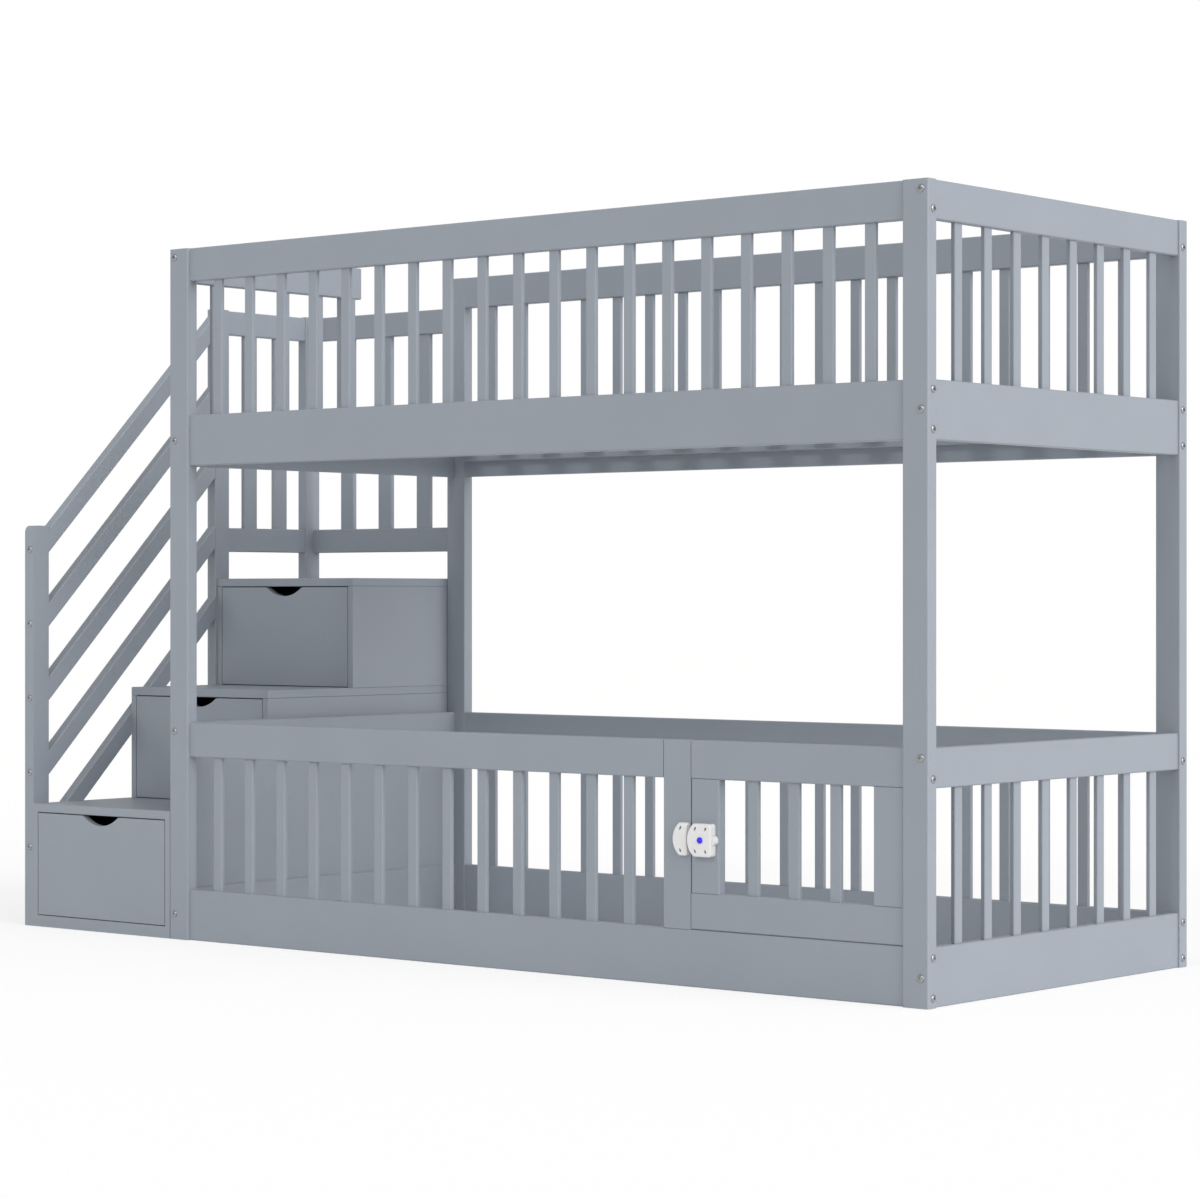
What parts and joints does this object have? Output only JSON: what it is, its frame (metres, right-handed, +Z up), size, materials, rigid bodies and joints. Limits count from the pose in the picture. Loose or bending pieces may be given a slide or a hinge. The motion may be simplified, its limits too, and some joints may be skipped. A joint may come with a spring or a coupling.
{
  "type": "bunk bed with storage stairs",
  "caption": "Low painted wooden bunk bed with spindle guards all round, a gated floor bunk, a slatted upper bunk and stairs with drawers under the treads",
  "frame": {"origin": "On the floor, under the middle of the whole unit's bounding box", "axes": "+X along the bed away from the stairs, +Y from the gated front to the back, +Z up"},
  "size_m": [2.59, 0.987, 1.575],
  "materials": {
    "painted_wood": "satin grey paint over solid wood and board",
    "drawer_wood": "satin grey paint, inside of the drawers",
    "bolt_steel": "bright zinc plated, domed heads with a hexagon socket",
    "hinge_steel": "satin nickel plated",
    "lock_plastic": "white moulded plastic, semi gloss",
    "button_plastic": "blue moulded plastic, semi gloss"
  },
  "bodies": {
    "frame": {"front_left_post": "painted_wood", "front_right_post": "painted_wood", "back_left_post": "painted_wood", "back_right_post": "painted_wood", "front_top_rail": "painted_wood", "front_bed_rail": "painted_wood", "front_lower_rail": "painted_wood", "front_bottom_rail": "painted_wood", "back_top_rail": "painted_wood", "back_bed_rail": "painted_wood", "back_lower_rail": "painted_wood", "back_bottom_rail": "painted_wood", "right_top_rail": "painted_wood", "right_bed_rail": "painted_wood", "right_lower_rail": "painted_wood", "right_bottom_rail": "painted_wood", "left_top_rail": "painted_wood", "left_bed_rail": "painted_wood", "left_lower_rail": "painted_wood", "left_bottom_rail": "painted_wood", "front_upper_spindles": "painted_wood", "front_lower_spindles": "painted_wood", "back_spindles": "painted_wood", "right_upper_spindles": "painted_wood", "right_lower_spindles": "painted_wood", "left_guard_panel": "painted_wood", "half_guard_uprights": "painted_wood", "slat_ledgers": "painted_wood", "mattress_slats": "painted_wood", "latch_post": "painted_wood", "hinge_post_leaves": "hinge_steel", "strike_plate": "lock_plastic", "stair_left_panels": "painted_wood", "stair_right_panels": "painted_wood", "first_tread": "painted_wood", "second_tread": "painted_wood", "third_tread": "painted_wood", "stair_base_and_back": "painted_wood", "newel_post": "painted_wood", "middle_stair_post": "painted_wood", "corner_stair_post": "painted_wood", "stair_handrails": "painted_wood", "stair_guard_rails": "painted_wood", "stair_guard_slats": "painted_wood", "drawer_runners": "drawer_wood", "frame_bolts": "bolt_steel"},
    "gate": {"gate_rails": "painted_wood", "gate_stiles": "painted_wood", "gate_spindles": "painted_wood", "hinge_gate_leaves": "hinge_steel", "lock_body": "lock_plastic", "button_spring": "hinge_steel"},
    "latch": {"latch_bolt": "lock_plastic"},
    "button": {"release_button": "button_plastic"},
    "low_drawer": {"low_drawer_front": "painted_wood", "low_drawer_box": "drawer_wood"},
    "middle_drawer": {"middle_drawer_front": "painted_wood", "middle_drawer_box": "drawer_wood"},
    "high_drawer": {"high_drawer_front": "painted_wood", "high_drawer_box": "drawer_wood"}
  },
  "joints": [
    {"name": "low_drawer_slide", "type": "slide", "parent": "frame", "child": "low_drawer", "axis": [0, -1, 0], "range_m": [0, 0.26]},
    {"name": "middle_drawer_slide", "type": "slide", "parent": "frame", "child": "middle_drawer", "axis": [0, -1, 0], "range_m": [0, 0.26]},
    {"name": "high_drawer_slide", "type": "slide", "parent": "frame", "child": "high_drawer", "axis": [0, -1, 0], "range_m": [0, 0.26]},
    {"name": "gate_hinge", "type": "hinge", "parent": "frame", "child": "gate", "pos_m": [1.232, -0.4452, 0.247], "axis": [0, 0, -1], "range_deg": [0, 90]},
    {"name": "latch_slide", "type": "slide", "parent": "gate", "child": "latch", "axis": [-1, 0, 0], "range_m": [0, 0.007]},
    {"name": "button_press", "type": "slide", "parent": "gate", "child": "button", "axis": [0, 1, 0], "range_m": [0, 0.002], "stiffness_N_per_m": 300, "deforming": ["button_spring"]}
  ]
}
